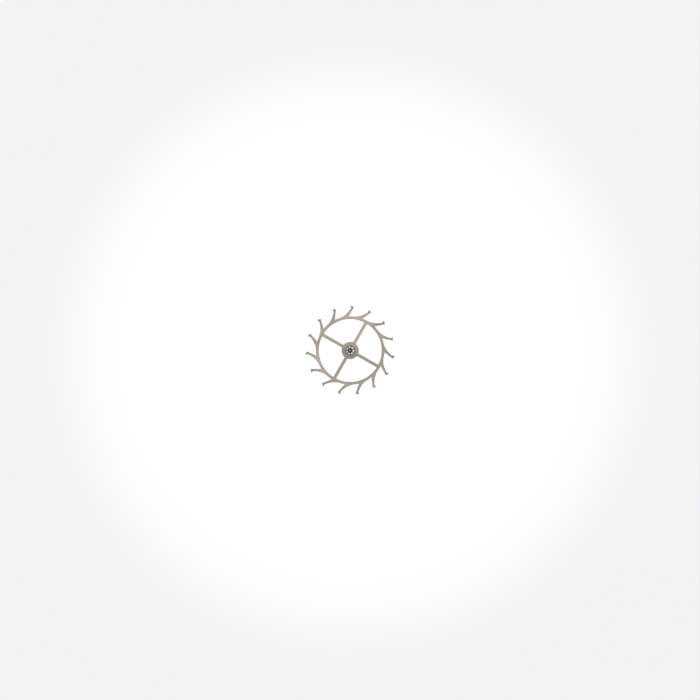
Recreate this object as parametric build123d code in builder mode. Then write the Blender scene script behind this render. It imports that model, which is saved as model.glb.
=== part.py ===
from build123d import *
import math
import os

# Escape wheel of a lever watch with its pinion, in millimetres.
# The arbor stands on +Z and the origin is the tip of the lower pivot.
# The pinion's leaves are above the wheel. Seen from +Z the teeth lean clockwise,
# the way the wheel turns, and the arms lie along X and Y.

os.makedirs("parts", exist_ok=True)

# Blank of the wheel
wheel_thickness = 0.18
tip_radius = 2.512         # circle through the heels of the teeth
tooth_height = 0.606       # from the rim between two teeth to the heels
rim_width = 0.154          # at its thinnest, between two teeth
hub_radius = 0.482
arm_count = 4
arm_width = 0.171
window_corner_radius = 0.06

# Club teeth, each measured from the corner that a pallet stone locks on
tooth_count = 15
first_tooth_angle = 0.62   # degrees from +X to the first locking corner
impulse_rise = 0.08        # radius gained from locking corner to heel
impulse_angle = 4.9        # degrees of the wheel under the impulse face
locking_angle = 25.6       # degrees from the radius to the locking face
club_length = 0.14         # from the corner down the locking face to the neck
neck_width = 0.113
stem_length = 0.158        # straight back of the tooth, from the neck to the hollow
stem_taper = 4.9           # degrees by which the stem widens to its root
club_bevel_width = 0.2     # radial width of the bevel on top of the clubs
club_bevel_depth = 0.055

# Leaves of the pinion
leaf_count = 7
first_leaf_angle = 11.3    # degrees from +X to the first leaf's middle
leaf_tip_radius = 0.3
leaf_pitch_radius = 0.245
leaf_root_radius = 0.142   # to the middle of the flat between two leaves
leaf_width = 0.085         # across a leaf at the pitch circle
leaf_root_fillet = 0.04
leaf_length = 1.1
leaf_bevel_width = 0.03    # radial width of the bevel on the upper leaf ends
leaf_bevel_depth = 0.02
undercut_radius = 0.125    # mouth of the cone turned into both ends around the arbor
undercut_depth = 0.035

# Seat that holds the wheel, made of the leaves turned down
seat_radius = 0.208
seat_clearance = 0.002
rivet_height = 0.024       # that the riveted ends stand out under the wheel
rivet_spread = 0.03        # radius gained where the ends are spread
rivet_sink = 0.035         # depth of the sink in the hub that they fill
rivet_bevel = 0.014

# Arbor, tapered from the leaves to the flat shoulders behind the pivots
arbor_radius = 0.105
lower_arbor_length = 0.25
upper_arbor_length = 0.35
shoulder_radius = 0.078
pivot_radius = 0.055
pivot_length = 0.25
pivot_rounding = 0.032

# Run of every cut past what it removes
overrun = 0.1

# Circles and pitches that follow from the sizes above
rim_outer_radius = tip_radius - tooth_height
rim_inner_radius = rim_outer_radius - rim_width
locking_radius = tip_radius - impulse_rise
tooth_pitch = 360 / tooth_count
arm_pitch = 360 / arm_count

# Heights along the arbor, from the tip of the lower pivot
rivet_bottom = pivot_length + lower_arbor_length
wheel_bottom = rivet_bottom + rivet_height
wheel_top = wheel_bottom + wheel_thickness
leaf_top = wheel_top + leaf_length
leaf_bevel_bottom = leaf_top - leaf_bevel_depth
upper_shoulder = leaf_top + upper_arbor_length
arbor_top = upper_shoulder + pivot_length


def direction(angle):
    """Unit vector at an angle in degrees from +X."""
    return Vector(1, 0).rotate(Axis.Z, angle)


def line_reach(start, way, radius):
    """Distance from start along way to the first crossing of a circle about the axis."""
    along = start.dot(way)
    return -along - math.sqrt(along**2 - start.dot(start) + radius**2)


# One tooth with its locking corner on +X, as corner points from root to rim
locking_corner = direction(0) * locking_radius
face_way = direction(180 - locking_angle)
face_side = direction(90 - locking_angle)
back_way = direction(180 - locking_angle - stem_taper)
back_side = direction(90 - locking_angle - stem_taper)
front_root = locking_corner + face_way * line_reach(locking_corner, face_way, rim_outer_radius)
heel = direction(impulse_angle) * tip_radius
neck = locking_corner + face_way * club_length + face_side * neck_width
stem_end = neck + back_way * stem_length

# The hollow behind the tooth touches both the straight back and the rim
stem_end_offset = rim_outer_radius - stem_end.dot(back_side)
hollow_radius = (stem_end.dot(stem_end) - rim_outer_radius**2) / 2 / stem_end_offset
hollow_centre = stem_end + back_side * hollow_radius
rim_touch = hollow_centre.normalized() * rim_outer_radius

# One window, from the middle line of an arm to that of the next
window_apex = direction(arm_pitch / 2) * (arm_width / 2 / math.sin(math.radians(arm_pitch / 2)))
with BuildSketch() as window:
    Circle(rim_inner_radius)
    Circle(hub_radius, mode=Mode.SUBTRACT)
    with BuildLine():
        Polyline(
            window_apex,
            window_apex + direction(0) * tip_radius,
            window_apex + direction(arm_pitch / 2) * (tip_radius + tip_radius),
            window_apex + direction(arm_pitch) * tip_radius,
            close=True,
        )
    make_face(mode=Mode.INTERSECT)
    fillet(window.vertices(), window_corner_radius)

with BuildPart() as escape_wheel:
    with BuildSketch(Plane.XY.offset(wheel_bottom)):
        with BuildLine():
            for tooth in range(tooth_count):
                turn = first_tooth_angle + tooth * tooth_pitch
                corners = [front_root, locking_corner, heel, neck, stem_end]
                Polyline(*[point.rotate(Axis.Z, turn) for point in corners])
                touch = rim_touch.rotate(Axis.Z, turn)
                RadiusArc(stem_end.rotate(Axis.Z, turn), touch, hollow_radius)
                RadiusArc(touch, front_root.rotate(Axis.Z, turn + tooth_pitch), -rim_outer_radius)
        make_face()
        with PolarLocations(0, arm_count):
            add(window.sketch, mode=Mode.SUBTRACT)
        Circle(seat_radius + seat_clearance, mode=Mode.SUBTRACT)
    extrude(amount=wheel_thickness)
    # sink under the hub for the riveted ends
    underside = escape_wheel.faces().sort_by(Axis.Z)[0]
    bore_mouth = underside.edges().sort_by_distance((0, 0, wheel_bottom))[0]
    chamfer(bore_mouth, length=rivet_spread, length2=rivet_sink, reference=underside)
    # bevel over the clubs
    with BuildSketch(Plane.XZ):
        with BuildLine():
            Polyline(
                (tip_radius - club_bevel_width, wheel_top),
                (tip_radius, wheel_top - club_bevel_depth),
                (tip_radius + overrun, wheel_top - club_bevel_depth),
                (tip_radius + overrun, wheel_top + overrun),
                (tip_radius - club_bevel_width, wheel_top + overrun),
                close=True,
            )
        make_face()
    revolve(axis=Axis.Z, mode=Mode.SUBTRACT)

escape_wheel.part.label = "escape_wheel"
export_step(escape_wheel.part, "parts/escape_wheel.step")

# One leaf on +X, with radial flanks and a rounded crest
flank_angle = math.degrees(math.asin(leaf_width / 2 / leaf_pitch_radius))
flank_top = direction(flank_angle) * leaf_pitch_radius
with BuildSketch() as leaf:
    with BuildLine():
        Polyline(direction(-flank_angle) * leaf_pitch_radius, (0, 0), flank_top)
        EllipticalCenterArc(
            (flank_top.X, 0),
            leaf_tip_radius - flank_top.X,
            leaf_width / 2,
            start_angle=-90,
            arc_size=180,
        )
    make_face()

leaf_plane = Plane.XY.offset(rivet_bottom).rotated((0, 0, first_leaf_angle))
with BuildPart() as escape_pinion:
    # leaves over the whole length, from the riveted ends to the upper face
    with BuildSketch(leaf_plane) as leaf_section:
        RegularPolygon(leaf_root_radius, leaf_count, major_radius=False)
        with PolarLocations(0, leaf_count):
            add(leaf.sketch)
        fillet(leaf_section.vertices().group_by(SortBy.DISTANCE)[0], leaf_root_fillet)
    extrude(amount=leaf_top - rivet_bottom)
    # leaves turned down to the seat, and spread where they are riveted
    with BuildSketch(Plane.XZ):
        with BuildLine():
            Polyline(
                (seat_radius, wheel_top),
                (leaf_tip_radius + overrun, wheel_top),
                (leaf_tip_radius + overrun, rivet_bottom - overrun),
                (seat_radius + rivet_spread - rivet_bevel, rivet_bottom - overrun),
                (seat_radius + rivet_spread - rivet_bevel, rivet_bottom),
                (seat_radius + rivet_spread, wheel_bottom),
                (seat_radius, wheel_bottom + rivet_sink),
                close=True,
            )
        make_face()
    revolve(axis=Axis.Z, mode=Mode.SUBTRACT)
    # bevel on the upper leaf ends
    with BuildSketch(Plane.XZ):
        with BuildLine():
            Polyline(
                (leaf_tip_radius - leaf_bevel_width, leaf_top),
                (leaf_tip_radius, leaf_bevel_bottom),
                (leaf_tip_radius + overrun, leaf_bevel_bottom),
                (leaf_tip_radius + overrun, leaf_top + overrun),
                (leaf_tip_radius - leaf_bevel_width, leaf_top + overrun),
                close=True,
            )
        make_face()
    revolve(axis=Axis.Z, mode=Mode.SUBTRACT)
    # cones turned into both ends around the arbor
    with BuildSketch(Plane.XZ):
        with BuildLine():
            Polyline(
                (0, rivet_bottom),
                (undercut_radius, rivet_bottom),
                (arbor_radius, rivet_bottom + undercut_depth),
                (0, rivet_bottom + undercut_depth),
                close=True,
            )
        make_face()
        with BuildLine():
            Polyline(
                (0, leaf_top),
                (undercut_radius, leaf_top),
                (arbor_radius, leaf_top - undercut_depth),
                (0, leaf_top - undercut_depth),
                close=True,
            )
        make_face()
    revolve(axis=Axis.Z, mode=Mode.SUBTRACT)
    # turned arbor with its shoulders and pivots
    with BuildSketch(Plane.XZ) as turned:
        with BuildLine():
            Polyline(
                (0, 0),
                (pivot_radius, 0),
                (pivot_radius, pivot_length),
                (shoulder_radius, pivot_length),
                (arbor_radius, rivet_bottom + undercut_depth),
                (arbor_radius, leaf_top - undercut_depth),
                (shoulder_radius, upper_shoulder),
                (pivot_radius, upper_shoulder),
                (pivot_radius, arbor_top),
                (0, arbor_top),
                close=True,
            )
        make_face()
        pivot_corners = turned.vertices().filter_by_position(Axis.X, pivot_radius, pivot_radius)
        pivot_corners = pivot_corners.sort_by(Axis.Y)
        fillet([pivot_corners[0], pivot_corners[-1]], pivot_rounding)
    revolve(axis=Axis.Z)

escape_pinion.part.label = "escape_pinion"
export_step(escape_pinion.part, "parts/escape_pinion.step")
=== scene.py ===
import math
from types import SimpleNamespace

import bmesh
import bpy
from bpy.props import FloatProperty, FloatVectorProperty, IntProperty, PointerProperty
from mathutils import Matrix, Vector


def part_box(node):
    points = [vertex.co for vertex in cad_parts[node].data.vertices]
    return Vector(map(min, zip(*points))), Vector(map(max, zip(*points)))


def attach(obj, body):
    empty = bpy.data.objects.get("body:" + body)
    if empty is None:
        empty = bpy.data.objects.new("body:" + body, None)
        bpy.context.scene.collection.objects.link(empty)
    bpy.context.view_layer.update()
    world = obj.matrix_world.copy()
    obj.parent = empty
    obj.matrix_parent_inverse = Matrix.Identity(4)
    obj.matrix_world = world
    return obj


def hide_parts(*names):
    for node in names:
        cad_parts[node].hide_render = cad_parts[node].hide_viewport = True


bl_info = {
    "name": "Escape wheel",
    "version": (1, 0, 0),
    "blender": (4, 5, 0),
    "location": "View3D > Sidebar > Escape wheel",
    "description": "Makes a club-toothed escape wheel riveted to its leaved pinion",
    "category": "Add Mesh",
}

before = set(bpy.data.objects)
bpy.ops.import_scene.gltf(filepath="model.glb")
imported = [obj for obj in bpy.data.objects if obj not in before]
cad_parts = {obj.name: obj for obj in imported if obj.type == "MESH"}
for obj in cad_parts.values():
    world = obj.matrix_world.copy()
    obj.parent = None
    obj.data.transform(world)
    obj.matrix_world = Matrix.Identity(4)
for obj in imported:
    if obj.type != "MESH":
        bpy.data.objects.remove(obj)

ROOT_BODY = "root"
WHEEL_NODE = "escape_wheel"
PINION_NODE = "escape_pinion"
WHEEL_LOW, WHEEL_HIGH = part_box(WHEEL_NODE)
PINION_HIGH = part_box(PINION_NODE)[1]
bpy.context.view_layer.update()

# Meshes are worked out in millimetres and are turned into metres when they are finished
MM = 0.001
MERGE_MM = 0.00001
COPY_MERGE_MM = 10 * MERGE_MM      # where the copies of a tree meet

# Steps of the round stretches
CUT_STEPS = 4                      # across a tooth where the bevel of its club starts
LAND_STEPS = 6                     # on the rim, from a tooth to the middle between two
HOLLOW_STEPS = 18                  # in the hollow behind a tooth
SEAM_STEPS = 4                     # on the rim's middle circle, for each tooth and each arm
BORE_STEPS = 24                    # on an arm's share of the bore and its sink
HUB_STEPS = 14
CORNER_STEPS = 12
WINDOW_STEPS = 28
FOOT_STEPS = 8
CREST_STEPS = 16
TURNED_STEPS = 16                  # on a leaf's share of the arbor and the pivots
PIVOT_STEPS = 6

# Edges
SHARP_ANGLE = math.radians(14)
ROUNDED_ANGLE = math.radians(30)
ROUNDING_SEGMENTS = 2

# Noises of the two steels
FINE_NOISE = (3.0, 0.6)            # detail and roughness
BROAD_NOISE = (1.0, 0.5)
WHEEL_DRIFT = (900, 900, 900)      # cells a metre on each axis
WHEEL_PATCHES = (450, 450, 450)
PATCH_SHIFT = (19.98, 13.05, 4.69)
PINION_DRIFT = (2500, 2500, 1200)

# How much longer the lines of the two steels are than wide
GRAIN_STRETCH = 40
CROSS_STRETCH = 25                 # of the lines across the grain
CROSS_FINENESS = 0.7               # against the grain's
FLANK_STRETCH = 30
LEAF_STRETCH = 30

# The stretch of a noise's values that is used
NOISE_RANGE = (0.3, 0.7)
LINE_RANGE = (0.25, 0.75)
PATCH_RANGE = (0.38, 0.62)

# What the noises make of colour and roughness
DRIFT_SHADES = (0.96, 1.04)
LINE_SHADES = (0.9, 1.08)
RING_SHADES = (0.92, 1.05)
DRIFT_MATT = (-0.05, 0.05)
CROSS_MATT = (-0.04, 0.04)
CROSS_RELIEF = 0.35
PINION_SHADES = (0.92, 1.06)
TURNING_MATT = (-0.03, 0.05)
LEAF_RELIEF = 0.6
# painted shade, darker at the bottom of the spaces between the leaves
ROOT_PAINTED_SHADE = 0.62                  # at the bottom of the spaces between the leaves
ROOT_MATT = 0.12

# Where one finish turns into the next
FLANK_TO_FACE = (0.35, 0.75)       # upright part of the normal
HUB_EDGE_SHARE = 0.95              # of the hub's radius
ROOT_END_SHARE = 0.3               # of the rim's width, beyond the rim
STEM_START_SHARE = 1.2             # of the rim's width, beyond the rim
ARBOR_EDGE_SHARE = 0.25            # of the rounding at the feet of the leaves
PIVOT_EDGE_SHARE = 0.1             # of the rounding at the pivots' tips

# Floor, sky and camera
WHITE = (1.0, 1.0, 1.0, 1.0)
FLOOR_CLOUDS = (60, 60, 60)
CLOUD_SHADE = 0.99
FLOOR_ROUGHNESS = 0.9
FLOOR_GLOSS = 0.1
SKY_RISES = (0.4, 0.05)            # height in the sky of its middle and its horizon
SIDE_RANGE = (-0.5, 0.5)
SOFTBOX_SIDES = {"right": -60, "left": 120, "up": 30, "down": -150}
SENSOR_MM = 36.0
NEAREST, FARTHEST = 0.002, 20.0    # that the camera sees, in metres


def size(name, description, millimetres):
    """A length that the user can change, stated in millimetres and kept in metres."""
    return FloatProperty(
        name=name, description=description, default=millimetres * MM,
        min=0.0, precision=6, unit="LENGTH", subtype="DISTANCE",
    )


def offset(name, description, millimetres):
    """A length that can also be negative, stated in millimetres and kept in metres."""
    return FloatProperty(
        name=name, description=description, default=millimetres * MM,
        precision=6, unit="LENGTH", subtype="DISTANCE",
    )


def angle(name, description, degrees):
    """An angle that the user can change, stated in degrees and kept in radians."""
    return FloatProperty(
        name=name, description=description, default=math.radians(degrees),
        unit="ROTATION", subtype="ANGLE",
    )


def share(name, description, value):
    """A number from 0 to 1 that the user can change."""
    return FloatProperty(
        name=name, description=description, default=value, min=0.0, max=1.0, subtype="FACTOR",
    )


def light(name, description, value):
    """The strength of a light that the user can change."""
    return FloatProperty(name=name, description=description, default=value, min=0.0)


def colour(name, description, value):
    """A colour that the user can change."""
    return FloatVectorProperty(
        name=name, description=description, default=value, size=3,
        min=0.0, max=1.0, subtype="COLOR",
    )


def tint(name, description, value):
    """A colour to multiply by, which can also make lighter."""
    return FloatVectorProperty(
        name=name, description=description, default=value, size=3,
        min=0.0, soft_max=1.5, subtype="COLOR",
    )


class WheelSizes(bpy.types.PropertyGroup):
    """Sizes of the wheel blank, its arms and its club teeth."""

    teeth: IntProperty(name="Teeth", description="Club teeth round the wheel", default=15, min=5)
    arms: IntProperty(name="Arms", description="Arms between hub and rim", default=4, min=2)
    bottom: size("Underside", "Height of the wheel's underside", WHEEL_LOW.z / MM)
    top: size("Upper side", "Height of the wheel's upper side", WHEEL_HIGH.z / MM)
    tip_radius: size("Tip radius", "Radius through the heels of the teeth", 2.512)
    tooth_height: size("Tooth height", "From the rim between two teeth to the heels", 0.606)
    rim_width: size("Rim width", "Rim at its thinnest", 0.154)
    hub_radius: size("Hub radius", "Radius of the hub disc", 0.482)
    arm_width: size("Arm width", "Width of an arm", 0.171)
    window_rounding: size("Window corners", "Radius in the corners of the windows", 0.06)
    bore_radius: size("Bore radius", "Bore that sits on the turned-down leaves", 0.21)
    sink_radius: size("Sink radius", "Mouth of the sink for the riveted ends", 0.24)
    sink_depth: size("Sink depth", "Depth of the sink under the hub", 0.035)
    first_tooth: angle("First tooth", "From +X to the first locking corner", 0.62)
    impulse_rise: size("Impulse rise", "Radius gained under the impulse face", 0.08)
    impulse_angle: angle("Impulse angle", "Angle of the wheel under the impulse face", 4.9)
    locking_angle: angle("Locking angle", "From the radius to the locking face", 25.6)
    club_length: size("Club length", "From the locking corner to the neck", 0.14)
    neck_width: size("Neck width", "Width of the tooth under its club", 0.113)
    stem_length: size("Stem length", "Straight back of the tooth", 0.158)
    stem_taper: angle("Stem taper", "Angle by which the stem widens", 4.9)
    club_bevel_width: size("Club bevel width", "Radial width of the bevel on the clubs", 0.2)
    club_bevel_depth: size("Club bevel depth", "Depth of the bevel on the clubs", 0.055)
    edge_rounding: size("Edge rounding", "Rounding of every edge of the blank", 0.01)


class PinionSizes(bpy.types.PropertyGroup):
    """Sizes of the leaves, the riveted seat, the arbor and the pivots."""

    leaves: IntProperty(name="Leaves", description="Leaves round the pinion", default=7, min=5)
    height: size("Height", "Height of the upper pivot's tip", PINION_HIGH.z / MM)
    first_leaf: angle("First leaf", "From +X to the middle of the first leaf", 11.3)
    tip_radius: size("Leaf tip radius", "Radius through the crests of the leaves", 0.3)
    pitch_radius: size("Pitch radius", "Radius where flanks turn into crests", 0.245)
    root_radius: size("Root radius", "To the middle of the flat between leaves", 0.142)
    leaf_width: size("Leaf width", "Across a leaf at the pitch circle", 0.085)
    root_rounding: size("Root rounding", "Radius at the foot of a leaf", 0.04)
    leaf_length: size("Leaf length", "Leaves above the wheel", 1.1)
    bevel_width: size("Bevel width", "Radial width of the bevel on the leaf ends", 0.03)
    bevel_depth: size("Bevel depth", "Depth of the bevel on the leaf ends", 0.02)
    undercut_radius: size("Undercut radius", "Mouth of the cone turned around the arbor", 0.125)
    undercut_depth: size("Undercut depth", "Depth of that cone", 0.035)
    seat_radius: size("Seat radius", "Leaves turned down to carry the wheel", 0.208)
    rivet_height: size("Rivet height", "Riveted ends below the wheel", 0.024)
    rivet_spread: size("Rivet spread", "Radius gained where the ends are spread", 0.03)
    rivet_sink: size("Rivet sink", "Depth of the spread inside the hub", 0.035)
    rivet_bevel: size("Rivet bevel", "Bevel under the riveted ends", 0.014)
    arbor_radius: size("Arbor radius", "Arbor where it meets the leaves", 0.105)
    shoulder_radius: size("Shoulder radius", "Flat shoulder behind a pivot", 0.078)
    pivot_radius: size("Pivot radius", "Radius of both pivots", 0.055)
    pivot_length: size("Pivot length", "Length of both pivots", 0.25)
    pivot_rounding: size("Pivot rounding", "Rounding at the tips of the pivots", 0.032)
    edge_rounding: size("Edge rounding", "Rounding of every edge of the pinion", 0.0025)


class Finishes(bpy.types.PropertyGroup):
    """Colours and surface of the two steels."""

    wheel_tone: colour("Wheel steel", "Colour of the satin steel", (0.63, 0.592, 0.525))
    # painted light and shade along a tooth: lighter at the root, darker on the slender stem and on the
    # bevelled club
    root_lit_tone: colour("Tooth roots", "Colour where the teeth grow from the rim", (0.66, 0.6, 0.53))
    stem_shaded_tone: colour("Stems", "Darker colour of the slender part of the teeth", (0.535, 0.505, 0.45))
    club_shaded_tone: colour("Clubs", "Cooler colour of the bevelled clubs", (0.515, 0.518, 0.49))
    dark_tint: tint("Dark tint", "Tint of the darker patches of the wheel", (0.871, 0.876, 0.868))
    light_tint: tint("Light tint", "Tint of the lighter patches of the wheel", (1.114, 1.09, 1.083))
    wheel_roughness: share("Wheel roughness", "How matt the satin steel is", 0.4)
    flank_roughness: share("Flank roughness", "How matt the cut flanks of the wheel are", 0.26)
    grain_width: size("Grain width", "Width of the grain lines on the wheel", 0.016)
    grain_depth: size("Grain depth", "Depth of the grain lines on the wheel", 0.0006)
    ring_width: size("Ring width", "Distance between the turned rings on the hub", 0.09)
    pinion_tone: colour("Pinion steel", "Colour of the polished steel", (0.37, 0.354, 0.33))
    pivot_tone: colour("Pivot steel", "Colour of the burnished pivots", (0.33, 0.32, 0.3))
    # painted shade: the turned arbor is coloured near black
    arbor_shaded_tone: colour("Arbor steel", "Darker colour of the turned arbor", (0.085, 0.079, 0.071))
    pinion_roughness: share("Pinion roughness", "How matt the polished steel is", 0.16)
    arbor_roughness: share("Arbor roughness", "How matt the turned arbor is", 0.3)
    turning_width: size("Turning marks", "Distance between turning marks", 0.011)
    turning_depth: size("Turning depth", "Depth of the turning marks", 0.0005)


class Studio(bpy.types.PropertyGroup):
    """Floor, lights and camera."""

    floor_width: size("Floor width", "Width of the square floor", 3000.0)
    floor_tone: colour("Floor", "Colour of the floor", (0.6, 0.6, 0.6))
    glow: light("Glow", "Light that the floor gives of its own", 0.75)
    glow_edge: light("Glow outside", "The same at the edge of the picture", 0.61)
    middle: light("Middle", "Brightness of the sky half-way down", 0.3)
    horizon: light("Horizon", "Brightness of the sky low down", 0.5)
    ring: light("Ring light", "Brightness of the broad ring of light round the lens", 0.6)
    ring_start: angle("Ring start", "From the lens to the full light of the ring", 14.0)
    ring_end: angle("Ring end", "From the lens to where the ring's light ends", 42.0)
    lens_dark: light("Lens shade", "Light that the lens takes away from the ring's middle", 0.5)
    ring_side: angle("Ring side", "Direction in which the ring of light is brightest", -35.0)
    ring_bias: share("Ring bias", "How much brighter the ring of light is on that side", 0.1)
    softbox: FloatProperty(
        name="Softboxes", description="Power of each softbox", default=0.1, min=0.0, unit="POWER")
    softbox_length: size("Softbox length", "Length of each softbox", 400.0)
    softbox_width: size("Softbox width", "Width of each softbox", 120.0)
    softbox_distance: size("Softbox distance", "From the origin to each softbox", 500.0)
    softbox_rise: angle("Softbox rise", "From the floor up to each softbox", 9.0)
    frame_width: size("Frame width", "Width of the picture at the wheel", 39.0)
    roll: angle("Camera roll", "Turn of the picture about the arbor", -60.35)
    lean_right: angle("Lean to the right", "Camera's lean to the right of the arbor", 1.0)
    lean_down: angle("Lean down", "Camera's lean below the arbor", 0.0)
    aim_right: offset("Aim right", "From the arbor to the picture's middle, to the right", -0.0111)
    aim_up: offset("Aim up", "From the arbor to the picture's middle, upwards", 0.0279)
    lens: FloatProperty(
        name="Lens", description="Focal length in millimetres", default=100.0, min=1.0, unit="CAMERA")


def own_properties(group):
    """Definitions of the values that a group adds, under their names."""
    built_in = ("rna_type", "name")
    return {name: prop for name, prop in group.bl_rna.properties.items() if name not in built_in}


def in_millimetres(sizes):
    """The group's lengths in millimetres and its angles in degrees, under the same names."""
    values = {}
    for name, prop in own_properties(sizes).items():
        value = getattr(sizes, name)
        if prop.type == "FLOAT" and prop.unit == "LENGTH":
            value = value / MM
        elif prop.type == "FLOAT" and prop.unit == "ROTATION":
            value = math.degrees(value)
        values[name] = value
    return SimpleNamespace(**values)


# Points and polygons in the plane


def at(radius, degrees):
    """Point at a radius and an angle."""
    turn = math.radians(degrees)
    return Vector((radius * math.cos(turn), radius * math.sin(turn)))


def turned(point, degrees):
    """The point turned about the axis."""
    return Matrix.Rotation(math.radians(degrees), 2) @ point


def bearing(point):
    """Angle of a point about the axis, in degrees."""
    return math.degrees(math.atan2(point.y, point.x))


def mirrored(points):
    """The points on the other side of the X axis, in the opposite order."""
    return [Vector((point.x, -point.y)) for point in points[::-1]]


def arc(centre, start, end, steps):
    """Points from start to end on the shorter arc about centre, both ends included."""
    first = start - centre
    sweep = -first.angle_signed(end - centre)
    return [centre + Matrix.Rotation(sweep * i / steps, 2) @ first for i in range(steps + 1)]


def ring(radius, start, end, steps):
    """Points on a circle about the axis from one angle to another, both ends included."""
    return [at(radius, start + (end - start) * i / steps) for i in range(steps + 1)]


def crossing(inner, outer, radius):
    """Where the line between a point inside a circle about the axis and one outside crosses it."""
    way = (outer - inner).normalized()
    along = inner.dot(way)
    return inner + way * (-along + math.sqrt(along * along - inner.length_squared + radius * radius))


class Shell:
    """Faces that share their corners."""

    def __init__(self):
        self.corners, self.index, self.faces, self.marks = [], {}, [], []

    def corner(self, point):
        """Number of the corner at that point."""
        key = tuple(round(value / MERGE_MM) for value in point)
        if key not in self.index:
            self.index[key] = len(self.corners)
            self.corners.append(tuple(point))
        return self.index[key]

    def face(self, points, mark=False):
        """A face through the points, left out where they fall together."""
        loop = []
        for point in points:
            number = self.corner(point)
            if number not in loop:
                loop.append(number)
        if len(loop) > 2:
            self.faces.append(loop)
            self.marks.append(mark)

    def strip(self, low, high):
        """Faces between two rows of as many points."""
        for a, b, c, d in zip(low, low[1:], high[1:], high):
            self.face([a, b, c, d])

    def mesh(self, name, mark_name=None):
        """The faces as a mesh. With a mark name, their marks are a face attribute of that name."""
        made = bpy.data.meshes.new(name)
        made.from_pydata(self.corners, [], self.faces)
        if mark_name:
            layer = made.attributes.new(mark_name, "BOOLEAN", "FACE")
            layer.data.foreach_set("value", self.marks)
        made.validate()
        return made


# Node trees


def add(tree, kind, *values, **settings):
    """A new node with the settings.

    The values go to its shown inputs in order, as links or as constants, and None skips one.
    """
    node = tree.nodes.new(kind)
    for key, value in settings.items():
        setattr(node, key, value)
    for socket, value in zip([s for s in node.inputs if s.enabled], values):
        if isinstance(value, bpy.types.NodeSocket):
            tree.links.new(value, socket)
        elif value is not None:
            socket.default_value = value
    return node


def out(node, name=None):
    """The named output of a node, or its first shown one."""
    if name:
        return node.outputs[name]
    return next(s for s in node.outputs if s.enabled)


def calc(tree, operation, *values):
    """Result of a Math node. Geometry and shader trees have the same one."""
    return out(add(tree, "ShaderNodeMath", *values, operation=operation))


def axis_distance(tree, place):
    """Distance of a place from the arbor's axis."""
    split = add(tree, "ShaderNodeSeparateXYZ", place)
    flat = out(add(tree, "ShaderNodeCombineXYZ", out(split, "X"), out(split, "Y")))
    return out(add(tree, "ShaderNodeVectorMath", flat, operation="LENGTH"))


def new_tree(name, inputs):
    """A geometry tree with named inputs, and its input node."""
    tree = bpy.data.node_groups.new(name, "GeometryNodeTree")
    tree.is_modifier = True
    tree.interface.new_socket("Geometry", in_out="INPUT", socket_type="NodeSocketGeometry")
    for socket_name, kind in inputs:
        tree.interface.new_socket(socket_name, in_out="INPUT", socket_type=kind)
    tree.interface.new_socket("Geometry", in_out="OUTPUT", socket_type="NodeSocketGeometry")
    return tree, tree.nodes.new("NodeGroupInput")


def close_tree(tree, geometry, material):
    """Ends the tree in real geometry with its material."""
    real = out(add(tree, "GeometryNodeRealizeInstances", geometry))
    painted = out(add(tree, "GeometryNodeSetMaterial", real, None, material))
    add(tree, "NodeGroupOutput", painted)


def copies_round(tree, geometry, count):
    """That many copies of the geometry, evenly turned about the axis."""
    points = out(add(tree, "GeometryNodePoints", count))
    step = calc(tree, "DIVIDE", math.tau, count)
    turn = calc(tree, "MULTIPLY", out(add(tree, "GeometryNodeInputIndex")), step)
    euler = out(add(tree, "ShaderNodeCombineXYZ", None, None, turn))
    rotation = out(add(tree, "FunctionNodeEulerToRotation", euler))
    return out(add(tree, "GeometryNodeInstanceOnPoints", points, None, geometry, None, None, rotation))


def merged(tree, geometry):
    """The geometry with instances made real and doubles merged."""
    real = out(add(tree, "GeometryNodeRealizeInstances", geometry))
    node = add(tree, "GeometryNodeMergeByDistance", real)
    node.inputs["Distance"].default_value = COPY_MERGE_MM
    return out(node)


def joined(tree, *geometries):
    """Several geometries as one."""
    node = tree.nodes.new("GeometryNodeJoinGeometry")
    for geometry in geometries:
        tree.links.new(geometry, node.inputs[0])
    return out(node)


def lifted(tree, geometry, amount):
    """The geometry with its points moved along Z."""
    node = add(tree, "GeometryNodeSetPosition", geometry)
    tree.links.new(out(add(tree, "ShaderNodeCombineXYZ", None, None, amount)), node.inputs["Offset"])
    return out(node)


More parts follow.
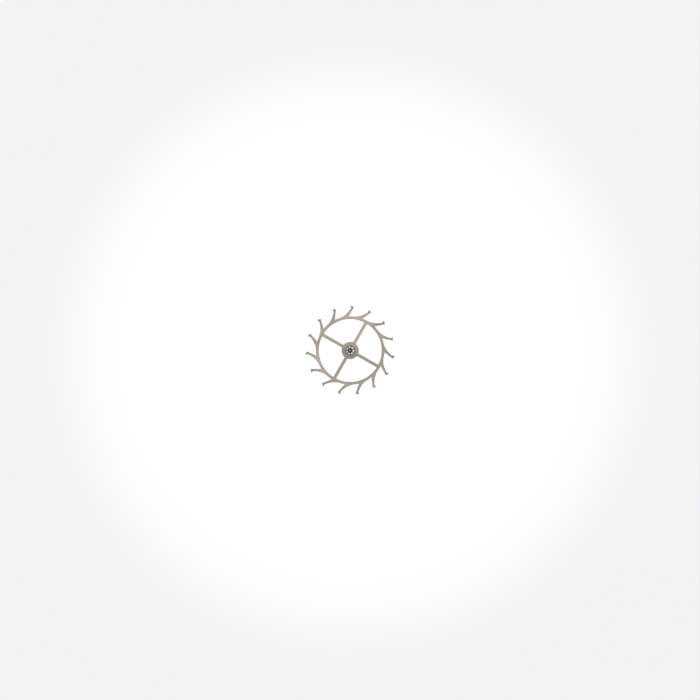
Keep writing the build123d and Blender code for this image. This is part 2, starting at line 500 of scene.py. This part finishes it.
def wheel_tree():
    """Copies the tooth and the arm round the axis, and makes the flat sheet a blank with bevelled clubs."""
    number, length = "NodeSocketInt", "NodeSocketFloat"
    tree, given = new_tree("wheel_blank", [
        ("Teeth", number), ("Arms", number), ("Thickness", length), ("Underside", length),
        ("Bevel Start", length), ("Bevel Slope", length), ("Sink Edge", length),
        ("Sink Depth", length), ("Material", "NodeSocketMaterial"),
    ])
    is_arm = out(add(tree, "GeometryNodeInputNamedAttribute", "is_arm", data_type="BOOLEAN"))
    parts = add(tree, "GeometryNodeSeparateGeometry", out(given, "Geometry"), is_arm, domain="FACE")
    arms = copies_round(tree, out(parts, "Selection"), out(given, "Arms"))
    teeth = copies_round(tree, out(parts, "Inverted"), out(given, "Teeth"))
    sheet = merged(tree, joined(tree, arms, teeth))
    # the sheet gets its thickness
    thickness = out(given, "Thickness")
    up = out(add(tree, "ShaderNodeCombineXYZ", None, None, thickness))
    risen = add(tree, "GeometryNodeExtrudeMesh", sheet, mode="FACES")
    risen.inputs["Individual"].default_value = False
    tree.links.new(up, risen.inputs["Offset"])
    under = out(add(tree, "GeometryNodeFlipFaces", sheet))
    blank = merged(tree, joined(tree, out(risen), under))
    # the upper side falls towards the tips, and the lower edge of the bore rises
    place = out(add(tree, "GeometryNodeInputPosition"))
    radius = axis_distance(tree, place)
    height = out(add(tree, "ShaderNodeSeparateXYZ", place), "Z")
    half = calc(tree, "DIVIDE", thickness, 2.0)
    is_upper = calc(tree, "GREATER_THAN", height, half)
    is_lower = calc(tree, "LESS_THAN", height, half)
    beyond = calc(tree, "MAXIMUM", calc(tree, "SUBTRACT", radius, out(given, "Bevel Start")), 0.0)
    fall = calc(tree, "MULTIPLY", calc(tree, "MULTIPLY", beyond, out(given, "Bevel Slope")), is_upper)
    bevelled = lifted(tree, blank, calc(tree, "MULTIPLY", fall, -1.0))
    in_bore = calc(tree, "LESS_THAN", radius, out(given, "Sink Edge"))
    rise = calc(tree, "MULTIPLY", calc(tree, "MULTIPLY", in_bore, is_lower), out(given, "Sink Depth"))
    sunk = lifted(tree, bevelled, rise)
    close_tree(tree, lifted(tree, sunk, out(given, "Underside")), out(given, "Material"))
    return tree


def pinion_tree():
    """Copies the part of the pinion that one leaf takes up round the axis."""
    tree, given = new_tree("leaved_pinion", [
        ("Leaves", "NodeSocketInt"), ("Material", "NodeSocketMaterial"),
    ])
    leaves = copies_round(tree, out(given, "Geometry"), out(given, "Leaves"))
    close_tree(tree, merged(tree, leaves), out(given, "Material"))
    return tree


# From modifiers to finished pieces


def plain(piece, name):
    """The piece's evaluated mesh as a plain one, in place of its modifiers."""
    evaluated = piece.evaluated_get(bpy.context.evaluated_depsgraph_get())
    made = bpy.data.meshes.new_from_object(evaluated)
    made.name = name
    piece.modifiers.clear()
    piece.data = made
    return made


def build(name, base, tree, values, rounding, node):
    """Makes a piece by the tree from the base mesh, with rounded edges, in metres and in the frame."""
    piece = bpy.data.objects.new(name, base)
    bpy.context.scene.collection.objects.link(piece)
    modifier = piece.modifiers.new("shape", "NODES")
    modifier.node_group = tree
    for item in tree.interface.items_tree:
        if item.in_out == "INPUT" and item.name in values:
            modifier[item.identifier] = values[item.name]
    made = plain(piece, name)
    shaped = bmesh.new()
    shaped.from_mesh(made)
    bmesh.ops.remove_doubles(shaped, verts=shaped.verts, dist=MERGE_MM)
    bmesh.ops.recalc_face_normals(shaped, faces=shaped.faces)
    open_edges = [edge for edge in shaped.edges if not edge.is_manifold]
    if open_edges:
        raise RuntimeError(f"{name} has {len(open_edges)} open edges")
    shaped.to_mesh(made)
    shaped.free()
    made.shade_smooth()
    made.set_sharp_from_angle(angle=SHARP_ANGLE)
    rounder = piece.modifiers.new("edges", "BEVEL")
    rounder.width = rounding
    rounder.segments = ROUNDING_SEGMENTS
    rounder.limit_method = "ANGLE"
    rounder.angle_limit = ROUNDED_ANGLE
    rounder.harden_normals = True
    rounder.use_clamp_overlap = True
    made = plain(piece, name)
    made.transform(Matrix.Scale(MM, 4))
    made.update()
    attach(piece, ROOT_BODY)
    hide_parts(node)


# The wheel


def tooth_sheet(shell, s):
    """One tooth with its share of the rim, as flat faces."""
    rim = s.tip_radius - s.tooth_height
    middle = rim - s.rim_width / 2
    pitch = 360 / s.teeth
    locking_corner = at(s.tip_radius - s.impulse_rise, 0)
    face_way = at(1, 180 - s.locking_angle)
    face_side = at(1, 90 - s.locking_angle)
    back_way = at(1, 180 - s.locking_angle - s.stem_taper)
    back_side = at(1, 90 - s.locking_angle - s.stem_taper)
    heel = at(s.tip_radius, s.impulse_angle)
    neck = locking_corner + face_way * s.club_length + face_side * s.neck_width
    stem_end = neck + back_way * s.stem_length
    along = locking_corner.dot(face_way)
    reach = -along - math.sqrt(along**2 - locking_corner.length_squared + rim**2)
    front_root = locking_corner + face_way * reach
    hollow_radius = (stem_end.length_squared - rim**2) / 2 / (rim - stem_end.dot(back_side))
    hollow_centre = stem_end + back_side * hollow_radius
    touch = hollow_centre.normalized() * rim
    # the copies meet on the rim, at an angle that the arms' copies have too
    step = 360 / (s.teeth * s.arms * SEAM_STEPS)
    land = (bearing(touch) - pitch + bearing(front_root)) / 2 + s.first_tooth
    seam = round(land / step) * step - s.first_tooth
    bevel_start = s.tip_radius - s.club_bevel_width
    front_cut = crossing(front_root, locking_corner, bevel_start)
    back_cut = crossing(stem_end, neck, bevel_start)
    cut = arc(Vector((0, 0)), front_cut, back_cut, CUT_STEPS)
    stem = ring(middle, seam, seam + pitch, s.arms * SEAM_STEPS)[::-1]
    stem += ring(rim, seam, bearing(front_root), LAND_STEPS)
    stem += cut
    stem += arc(hollow_centre, stem_end, touch, HOLLOW_STEPS)
    stem += ring(rim, bearing(touch), seam + pitch, LAND_STEPS)
    club = [front_cut, locking_corner, heel, neck, back_cut] + cut[::-1]
    for outline in (stem, club):
        shell.face([(*turned(point, s.first_tooth), 0.0) for point in outline[::-1]])


def arm_sheet(shell, s):
    """One arm with its share of the hub and of the rim's inner half, as flat faces."""
    rim = s.tip_radius - s.tooth_height
    middle = rim - s.rim_width / 2
    window = rim - s.rim_width
    half = 180 / s.arms
    rounding = s.window_rounding
    side = s.arm_width / 2 + rounding
    bore = ring(s.bore_radius, -half, half, BORE_STEPS)
    sink = ring(s.sink_radius, -half, half, BORE_STEPS)
    for a, b, c, d in zip(bore, bore[1:], sink[1:], sink):
        shell.face([(*point, 0.0) for point in (d, c, b, a)], True)
    hub_centre = Vector((math.sqrt((s.hub_radius + rounding) ** 2 - side**2), side))
    rim_centre = Vector((math.sqrt((window - rounding) ** 2 - side**2), side))
    hub_touch = hub_centre.normalized() * s.hub_radius
    rim_touch = rim_centre.normalized() * window
    flank = ring(s.hub_radius, half, bearing(hub_touch), HUB_STEPS)
    flank += arc(hub_centre, hub_touch, Vector((hub_centre.x, s.arm_width / 2)), CORNER_STEPS)
    flank += arc(rim_centre, Vector((rim_centre.x, s.arm_width / 2)), rim_touch, CORNER_STEPS)
    flank += ring(window, bearing(rim_touch), half, WINDOW_STEPS)
    outline = sink + flank + ring(middle, half, -half, s.teeth * SEAM_STEPS) + mirrored(flank)
    shell.face([(*point, 0.0) for point in outline[::-1]], True)


# The pinion


def leaf_points(s, bevel_radius):
    """One leaf on +X: its foot beyond +Y from the flat up to the flank, and its crest from -Y to +Y."""
    half = 180 / s.leaves
    flank = math.degrees(math.asin(s.leaf_width / 2 / s.pitch_radius))
    flat_way, flank_way, flank_side = at(1, half), at(1, flank), at(1, flank + 90)
    lift = s.root_radius + s.root_rounding - s.root_rounding * flank_side.dot(flat_way)
    foot_centre = flank_way * (lift / flank_way.dot(flat_way)) + flank_side * s.root_rounding
    on_flat = foot_centre - flat_way * s.root_rounding
    on_flank = foot_centre - flank_side * s.root_rounding
    foot = [flat_way * s.root_radius] + arc(foot_centre, on_flat, on_flank, FOOT_STEPS)
    crest_foot = at(s.pitch_radius, flank)
    across = s.tip_radius - crest_foot.x
    turns = [math.pi * (i / CREST_STEPS - 0.5) for i in range(CREST_STEPS + 1)]
    crest = [Vector((crest_foot.x + across * math.cos(a), crest_foot.y * math.sin(a))) for a in turns]
    # the point nearest the bevel's edge moves onto it, on each side
    for row in (range(CREST_STEPS // 2), range(CREST_STEPS, CREST_STEPS // 2, -1)):
        nearest = min(row, key=lambda i: abs(crest[i].length - bevel_radius))
        crest[nearest] = crest[nearest].normalized() * bevel_radius
    return foot, crest


def pinion_shell(s, wheel_bottom, wheel_top):
    """The part of the pinion that one leaf takes up, from the axis outwards."""
    shell = Shell()
    rivet_bottom = wheel_bottom - s.rivet_height
    rivet_radius = s.seat_radius + s.rivet_spread
    leaf_top = wheel_top + s.leaf_length
    bevel_radius = s.tip_radius - s.bevel_width
    foot, crest = leaf_points(s, bevel_radius)
    flank, half = bearing(crest[-1]), 180 / s.leaves

    def leaf(points, height_at):
        """A leaf's outline with these points as its crest."""
        outline = mirrored(foot[::-1]) + points + foot[::-1]
        return [(*point, height_at(point.length)) for point in outline]

    def turned_down(radius, height):
        """The outline of a leaf turned down to a radius."""
        return leaf(ring(radius, -flank, flank, CREST_STEPS), lambda distance: height)

    def bevelled(distance):
        """Height of a leaf's end at a distance from the axis."""
        return leaf_top - s.bevel_depth * max(distance - bevel_radius, 0) / s.bevel_width

    def circle(radius, height):
        """One leaf's share of a circle."""
        return [(*point, height) for point in ring(radius, -half, half, TURNED_STEPS)]

    # turned-down leaves that carry the wheel, with their riveted ends
    seat = [
        turned_down(rivet_radius - s.rivet_bevel, rivet_bottom),
        turned_down(rivet_radius, wheel_bottom),
        turned_down(s.seat_radius, wheel_bottom + s.rivet_sink),
        turned_down(s.seat_radius, wheel_top),
    ]
    for low, high in zip(seat, seat[1:]):
        shell.strip(low, high)
    shell.face(seat[0] + circle(s.undercut_radius, rivet_bottom)[::-1])
    # full leaves, from the step that the wheel rests on to their bevelled ends
    step = leaf(crest, lambda distance: wheel_top)
    feet = len(foot)
    shell.face(step[feet - 1:1 - feet] + seat[-1][feet - 1:1 - feet][::-1])
    top = leaf(crest, bevelled)
    shell.strip(step, top)
    end = leaf([point * min(1, bevel_radius / point.length) for point in crest], lambda distance: leaf_top)
    shell.strip(top, end)
    shell.face(end + circle(s.undercut_radius, leaf_top)[::-1])
    # undercuts, arbor and pivots
    for inward, face, tip in ((-1, leaf_top, s.height), (1, rivet_bottom, 0.0)):
        shoulder = tip + inward * s.pivot_length
        rows = [
            (s.undercut_radius, face),
            (s.arbor_radius, face + inward * s.undercut_depth),
            (s.shoulder_radius, shoulder),
            (s.pivot_radius, shoulder),
        ]
        for i in range(PIVOT_STEPS + 1):
            turn = math.pi / 2 * i / PIVOT_STEPS
            rows.append((
                s.pivot_radius - s.pivot_rounding * (1 - math.cos(turn)),
                tip + inward * s.pivot_rounding * (1 - math.sin(turn)),
            ))
        rows.append((0.0, tip))
        circles = [circle(*row) for row in rows]
        for outer, inner in zip(circles, circles[1:]):
            shell.strip(outer, inner)
    return shell


# Finishes


def shader(name):
    """A new material, its tree, its principled shader and its Object coordinates."""
    material = bpy.data.materials.new(name)
    material.use_nodes = True
    tree = material.node_tree
    principled = tree.nodes["Principled BSDF"]
    place = out(add(tree, "ShaderNodeTexCoord"), "Object")
    return material, tree, principled, place


def noise(tree, place, scale, detail=2.0, roughness=0.5, shift=(0.0, 0.0, 0.0)):
    """Value of a noise on coordinates stretched by the scale on each axis, and then shifted."""
    mapped = out(add(tree, "ShaderNodeMapping", place, shift, None, scale))
    return out(add(tree, "ShaderNodeTexNoise", mapped, 1.0, detail, roughness))


def ranged(tree, value, low, high, to_low=0.0, to_high=1.0):
    """The value carried smoothly from one range to another."""
    return out(add(
        tree, "ShaderNodeMapRange", value, low, high, to_low, to_high, interpolation_type="SMOOTHSTEP"))


def blend(tree, share_in, first, second):
    """A value between two others."""
    return out(add(tree, "ShaderNodeMix", share_in, first, second))


def mixed(tree, share_in, first, second):
    """A mix of two colours."""
    colours = [c if isinstance(c, bpy.types.NodeSocket) else (*c, 1.0) for c in (first, second)]
    return out(add(tree, "ShaderNodeMix", share_in, *colours, data_type="RGBA"))


def scaled(tree, tone, factor):
    """A colour made lighter or darker."""
    return out(add(tree, "ShaderNodeVectorMath", tone, factor, operation="SCALE"))


def make_metal(tree, principled, tone, roughness, height, depth):
    """Makes the shader a metal with this colour, roughness and relief."""
    principled.inputs["Metallic"].default_value = 1.0
    tree.links.new(tone, principled.inputs["Base Color"])
    tree.links.new(roughness, principled.inputs["Roughness"])
    bump = tree.nodes.new("ShaderNodeBump")
    bump.inputs["Distance"].default_value = depth
    bump.inputs["Strength"].default_value = 1.0
    tree.links.new(height, bump.inputs["Height"])
    tree.links.new(out(bump), principled.inputs["Normal"])


def wheel_steel(f, s):
    """Satin steel with a fine straight grain and turned rings on the hub, and milled flanks."""
    material, tree, principled, place = shader("satin_wheel_steel")
    radius = axis_distance(tree, place)
    normal = out(add(tree, "ShaderNodeNewGeometry"), "Normal")
    upright = calc(tree, "ABSOLUTE", out(add(tree, "ShaderNodeSeparateXYZ", normal), "Z"))
    on_face = ranged(tree, upright, *FLANK_TO_FACE)
    fine = 1 / f.grain_width
    grain = noise(tree, place, (fine / GRAIN_STRETCH, fine, fine), *FINE_NOISE)
    cross = noise(tree, place, (fine * CROSS_FINENESS, fine / CROSS_STRETCH, fine))
    milled = noise(tree, place, (fine, fine, fine / FLANK_STRETCH), *FINE_NOISE)
    drift = noise(tree, place, WHEEL_DRIFT)
    patches = noise(tree, place, WHEEL_PATCHES, *BROAD_NOISE, PATCH_SHIFT)
    across = out(add(tree, "ShaderNodeCombineXYZ", radius))
    rings = noise(tree, across, (1 / f.ring_width, 0, 0), *BROAD_NOISE)
    # painted light and shade along a tooth: lighter from the rim over its root, darker on its stem, and
    # darker and cooler on its club
    rim = s.tip_radius - s.tooth_height
    root_end = rim + ROOT_END_SHARE * s.rim_width
    stem_start = rim + STEM_START_SHARE * s.rim_width
    club_start = s.tip_radius - s.club_bevel_width
    club_middle = s.tip_radius - s.club_bevel_width / 2
    tone = mixed(tree, ranged(tree, radius, rim - s.rim_width, root_end), f.wheel_tone, f.root_lit_tone)
    tone = mixed(tree, ranged(tree, radius, root_end, stem_start), tone, f.stem_shaded_tone)
    tone = mixed(tree, ranged(tree, radius, club_start, club_middle), tone, f.club_shaded_tone)
    # patches, slow drift, grain and rings make it lighter and darker
    patch_tint = mixed(tree, ranged(tree, patches, *PATCH_RANGE), f.dark_tint, f.light_tint)
    tone = out(add(tree, "ShaderNodeVectorMath", tone, patch_tint, operation="MULTIPLY"))
    lines = blend(tree, on_face, milled, grain)
    shade = ranged(tree, drift, *NOISE_RANGE, *DRIFT_SHADES)
    shade = calc(tree, "MULTIPLY", shade, ranged(tree, lines, *LINE_RANGE, *LINE_SHADES))
    on_hub = ranged(tree, radius, s.hub_radius, HUB_EDGE_SHARE * s.hub_radius)
    turning = ranged(tree, rings, *NOISE_RANGE, *RING_SHADES)
    shade = calc(tree, "MULTIPLY", shade, blend(tree, on_hub, 1.0, turning))
    matt = blend(tree, on_face, f.flank_roughness, f.wheel_roughness)
    matt = calc(tree, "ADD", matt, ranged(tree, drift, *NOISE_RANGE, *DRIFT_MATT))
    matt = calc(tree, "ADD", matt, ranged(tree, cross, *NOISE_RANGE, *CROSS_MATT))
    relief = calc(tree, "ADD", lines, calc(tree, "MULTIPLY", cross, CROSS_RELIEF))
    make_metal(tree, principled, scaled(tree, tone, shade), matt, relief, f.grain_depth)
    return material


def pinion_steel(f, s):
    """Polished leaves with faint lines along them, a more matt arbor with turning marks round it that
    painted shade makes near black, and painted shade at the roots between the leaves.
    """
    material, tree, principled, place = shader("polished_pinion_steel")
    radius = axis_distance(tree, place)
    height = out(add(tree, "ShaderNodeSeparateXYZ", place), "Z")
    turned_place = out(add(tree, "ShaderNodeCombineXYZ", radius, None, height))
    fine = 1 / f.turning_width
    marks = noise(tree, turned_place, (fine, fine, fine), *FINE_NOISE)
    lengthwise = noise(tree, place, (fine, fine, fine / LEAF_STRETCH))
    drift = noise(tree, place, PINION_DRIFT)
    arbor_edge = s.undercut_radius + ARBOR_EDGE_SHARE * s.root_rounding
    pivot_edge = s.pivot_radius + PIVOT_EDGE_SHARE * s.pivot_rounding
    on_arbor = ranged(tree, radius, arbor_edge, s.undercut_radius)
    on_pivot = ranged(tree, radius, pivot_edge, s.pivot_radius)
    in_root = ranged(tree, radius, s.seat_radius, s.root_radius)
    # painted shade darkens the arbor, which is also more matt
    arbor_shade_and_matt = calc(tree, "SUBTRACT", on_arbor, on_pivot)
    tone = mixed(tree, on_pivot, mixed(tree, arbor_shade_and_matt, f.pinion_tone, f.arbor_shaded_tone), f.pivot_tone)
    # painted shade towards the roots of the leaves
    painted_root_shade = ranged(tree, calc(tree, "SUBTRACT", in_root, on_arbor), 0.0, 1.0, 1.0, ROOT_PAINTED_SHADE)
    shade = calc(tree, "MULTIPLY", ranged(tree, drift, *NOISE_RANGE, *PINION_SHADES), painted_root_shade)
    matt = blend(tree, arbor_shade_and_matt, f.pinion_roughness, f.arbor_roughness)
    matt = calc(tree, "ADD", matt, ranged(tree, marks, *NOISE_RANGE, *TURNING_MATT))
    matt = calc(tree, "ADD", matt, calc(tree, "MULTIPLY", in_root, ROOT_MATT))
    relief = blend(tree, on_arbor, calc(tree, "MULTIPLY", lengthwise, LEAF_RELIEF), marks)
    make_metal(tree, principled, scaled(tree, tone, shade), matt, relief, f.turning_depth)
    return material


# Operators and panel


class EscapeWheelMakeWheel(bpy.types.Operator):
    """Make the toothed wheel"""

    bl_idname = "escape_wheel.make_wheel"
    bl_label = "Make wheel"

    def execute(self, context):
        sizes = context.scene.escape_wheel_sizes
        s = in_millimetres(sizes)
        shell = Shell()
        tooth_sheet(shell, s)
        arm_sheet(shell, s)
        values = {
            "Teeth": s.teeth,
            "Arms": s.arms,
            "Thickness": s.top - s.bottom,
            "Underside": s.bottom,
            "Bevel Start": s.tip_radius - s.club_bevel_width,
            "Bevel Slope": s.club_bevel_depth / s.club_bevel_width,
            "Sink Edge": (s.bore_radius + s.sink_radius) / 2,
            "Sink Depth": s.sink_depth,
            "Material": wheel_steel(context.scene.escape_wheel_finishes, sizes),
        }
        base = shell.mesh("wheel_sheet", "is_arm")
        build("toothed_wheel", base, wheel_tree(), values, s.edge_rounding, WHEEL_NODE)
        return {"FINISHED"}


class EscapeWheelMakePinion(bpy.types.Operator):
    """Make the pinion with its leaves, arbor and pivots"""

    bl_idname = "escape_wheel.make_pinion"
    bl_label = "Make pinion"

    def execute(self, context):
        sizes = context.scene.escape_pinion_sizes
        wheel = in_millimetres(context.scene.escape_wheel_sizes)
        s = in_millimetres(sizes)
        base = pinion_shell(s, wheel.bottom, wheel.top).mesh("leaf_part")
        base.transform(Matrix.Rotation(math.radians(s.first_leaf), 4, "Z"))
        values = {
            "Leaves": s.leaves,
            "Material": pinion_steel(context.scene.escape_wheel_finishes, sizes),
        }
        build("leaved_pinion", base, pinion_tree(), values, s.edge_rounding, PINION_NODE)
        return {"FINISHED"}


class EscapeWheelMakeStudio(bpy.types.Operator):
    """Make the floor, the lights and the camera"""

    bl_idname = "escape_wheel.make_studio"
    bl_label = "Make studio"

    def execute(self, context):
        scene = context.scene
        studio = scene.escape_wheel_studio
        self.light_table(studio)
        scene.world = self.sky(studio)
        for side, degrees in SOFTBOX_SIDES.items():
            self.softbox(f"softbox_{side}", degrees, studio)
        scene.camera = self.camera(studio, scene.escape_wheel_sizes.top)
        scene.view_settings.view_transform = "Standard"
        return {"FINISHED"}

    def light_table(self, studio):
        """A pale floor that gives light of its own, a little less towards the edge of the picture."""
        material, tree, principled, place = shader("light_table")
        principled.inputs["Roughness"].default_value = FLOOR_ROUGHNESS
        principled.inputs["Specular IOR Level"].default_value = FLOOR_GLOSS
        dim_tone = tuple(CLOUD_SHADE * value for value in studio.floor_tone)
        tone = mixed(tree, noise(tree, place, FLOOR_CLOUDS), dim_tone, studio.floor_tone)
        tree.links.new(tone, principled.inputs["Base Color"])
        reach = studio.frame_width / 2
        radius = axis_distance(tree, place)
        glow = ranged(tree, radius, reach / 2, reach, studio.glow, studio.glow_edge)
        tree.links.new(glow, principled.inputs["Emission Strength"])
        principled.inputs["Emission Color"].default_value = WHITE
        half = studio.floor_width / 2
        mesh = bpy.data.meshes.new("floor")
        mesh.from_pydata(
            [(-half, -half, 0), (half, -half, 0), (half, half, 0), (-half, half, 0)], [], [(0, 1, 2, 3)])
        mesh.materials.append(material)
        floor = bpy.data.objects.new("floor", mesh)
        bpy.context.scene.collection.objects.link(floor)

    def sky(self, studio):
        """A sky that is dim half-way down, with a ring of light round the lens."""
        world = bpy.data.worlds.new("studio_sky")
        world.use_nodes = True
        tree = world.node_tree
        background = tree.nodes["Background"]
        way = out(add(tree, "ShaderNodeTexCoord"), "Object")
        rise = out(add(tree, "ShaderNodeSeparateXYZ", way), "Z")
        lens = ranged(tree, rise, math.cos(studio.ring_start), 1.0, 0.0, studio.lens_dark)
        broad = ranged(tree, rise, math.cos(studio.ring_end), math.cos(studio.ring_start), 0.0, studio.ring)
        low = ranged(tree, rise, *SKY_RISES, studio.middle, studio.horizon)
        bright_way = (math.cos(studio.ring_side), math.sin(studio.ring_side), 0.0)
        side = out(add(tree, "ShaderNodeVectorMath", way, bright_way, operation="DOT_PRODUCT"))
        bias = ranged(tree, side, *SIDE_RANGE, 1 - studio.ring_bias, 1 + studio.ring_bias)
        ring_light = calc(tree, "MULTIPLY", calc(tree, "SUBTRACT", broad, lens), bias)
        tree.links.new(calc(tree, "ADD", low, ring_light), background.inputs["Strength"])
        background.inputs["Color"].default_value = WHITE
        return world

    def softbox(self, name, degrees, studio):
        """A low area light that looks at the origin."""
        lamp_data = bpy.data.lights.new(name, "AREA")
        lamp_data.shape = "RECTANGLE"
        lamp_data.size = studio.softbox_length
        lamp_data.size_y = studio.softbox_width
        lamp_data.energy = studio.softbox
        rise = studio.softbox_rise
        way = Vector((*at(math.cos(rise), degrees), math.sin(rise)))
        lamp = bpy.data.objects.new(name, lamp_data)
        lamp.location = way * studio.softbox_distance
        lamp.rotation_euler = way.to_track_quat("Z", "Y").to_euler()
        lamp.visible_camera = False
        bpy.context.scene.collection.objects.link(lamp)

    def camera(self, studio, wheel_top):
        """A camera above the wheel, all but straight down."""
        data = bpy.data.cameras.new("camera")
        data.lens = studio.lens
        data.sensor_width = SENSOR_MM
        data.clip_start, data.clip_end = NEAREST, FARTHEST
        turn = Matrix.Rotation(studio.roll, 3, "Z") @ Matrix.Rotation(studio.lean_right, 3, "Y")
        turn = turn @ Matrix.Rotation(studio.lean_down, 3, "X")
        distance = studio.frame_width / data.sensor_width * data.lens
        way_back = Vector((studio.aim_right, studio.aim_up, distance))
        eye = bpy.data.objects.new("camera", data)
        eye.rotation_euler = turn.to_euler()
        eye.location = turn @ way_back + Vector((0, 0, wheel_top))
        bpy.context.scene.collection.objects.link(eye)
        return eye


class EscapeWheelPanel(bpy.types.Panel):
    """Sizes and buttons of the escape wheel"""

    bl_idname = "VIEW3D_PT_escape_wheel"
    bl_label = "Escape wheel"
    bl_space_type = "VIEW_3D"
    bl_region_type = "UI"
    bl_category = "Escape wheel"

    def draw(self, context):
        groups = (
            (EscapeWheelMakeWheel, context.scene.escape_wheel_sizes),
            (EscapeWheelMakePinion, context.scene.escape_pinion_sizes),
            (EscapeWheelMakeStudio, context.scene.escape_wheel_studio),
        )
        for maker, group in groups:
            box = self.layout.box()
            box.operator(maker.bl_idname)
            self.list_group(box, group)
        self.list_group(self.layout.box(), context.scene.escape_wheel_finishes)

    def list_group(self, box, group):
        """Lists every value of a group."""
        for name in own_properties(group):
            box.prop(group, name)


GROUPS = {
    "escape_wheel_sizes": WheelSizes,
    "escape_pinion_sizes": PinionSizes,
    "escape_wheel_finishes": Finishes,
    "escape_wheel_studio": Studio,
}
MAKERS = (EscapeWheelMakeWheel, EscapeWheelMakePinion, EscapeWheelMakeStudio)
CLASSES = (*GROUPS.values(), *MAKERS, EscapeWheelPanel)


def register():
    """Adds the classes and their values to Blender."""
    for item in CLASSES:
        bpy.utils.register_class(item)
    for name, group in GROUPS.items():
        setattr(bpy.types.Scene, name, PointerProperty(type=group))


def unregister():
    """Takes them away again."""
    for name in GROUPS:
        delattr(bpy.types.Scene, name)
    for item in reversed(CLASSES):
        bpy.utils.unregister_class(item)


def main():
    """Makes the pieces and the studio."""
    register()
    bpy.ops.escape_wheel.make_wheel()
    bpy.ops.escape_wheel.make_pinion()
    bpy.ops.escape_wheel.make_studio()


if __name__ == "__main__":
    main()
